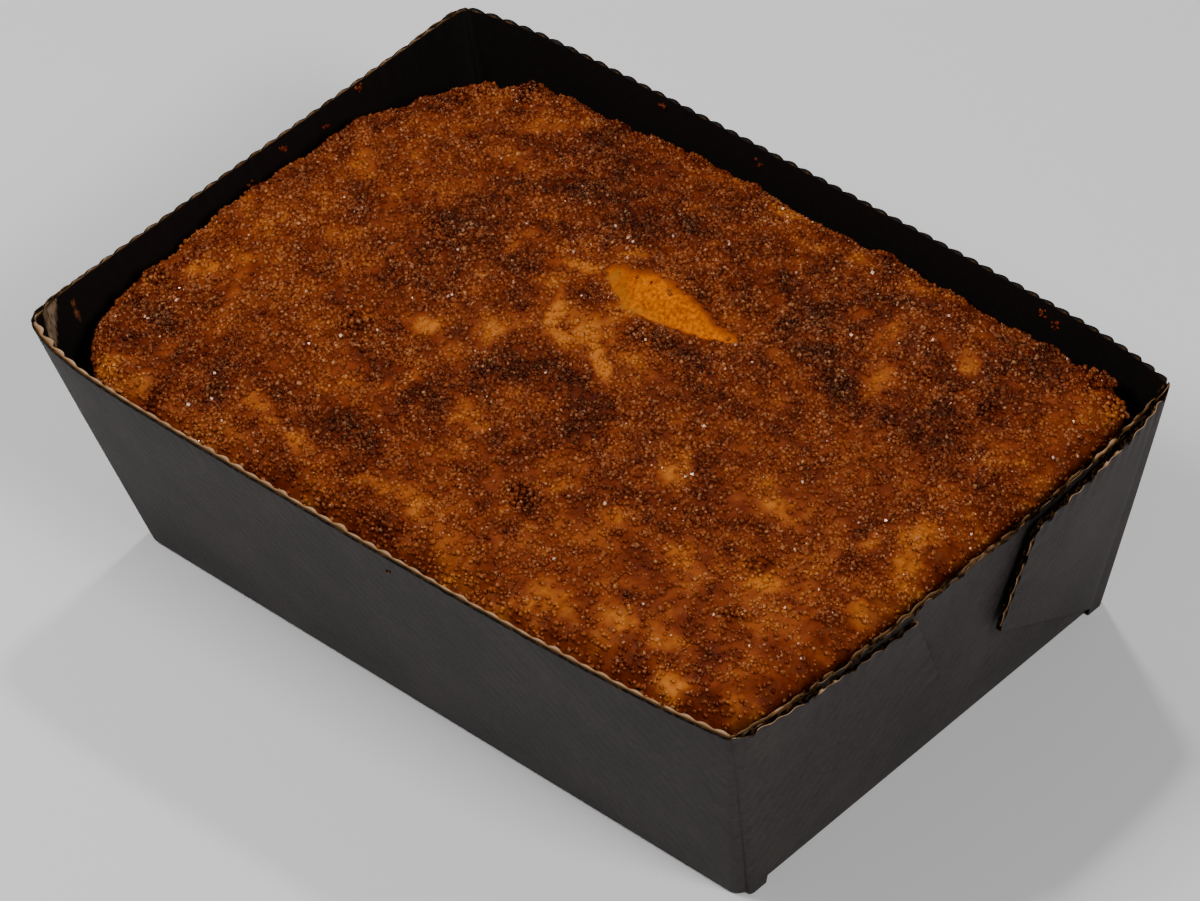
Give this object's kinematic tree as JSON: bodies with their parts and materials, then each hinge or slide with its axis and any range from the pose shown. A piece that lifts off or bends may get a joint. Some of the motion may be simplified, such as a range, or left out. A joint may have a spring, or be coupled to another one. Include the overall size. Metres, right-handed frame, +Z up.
{
  "type": "butter cake in a paper baking tray",
  "caption": "Rectangular loaf of butter cake with a domed, split, sugared crust, in the flared tray of black fluted paper that it was baked in.",
  "frame": {"origin": "middle of the whole part's box, on the surface that the tray stands on", "axes": "+X along the tray's long side, +Y across it, from the long wall with the worn left corner to the far long wall, +Z up"},
  "size_m": [0.1726, 0.1148, 0.0558],
  "materials": {
    "tray_paper": "black dyed fluted paper, matt, with tan cut edges",
    "cake_crust": "browned cake crust under coarse sugar grains"
  },
  "bodies": {
    "root": {"baking_tray": "tray_paper", "cake": "cake_crust"}
  },
  "joints": []
}
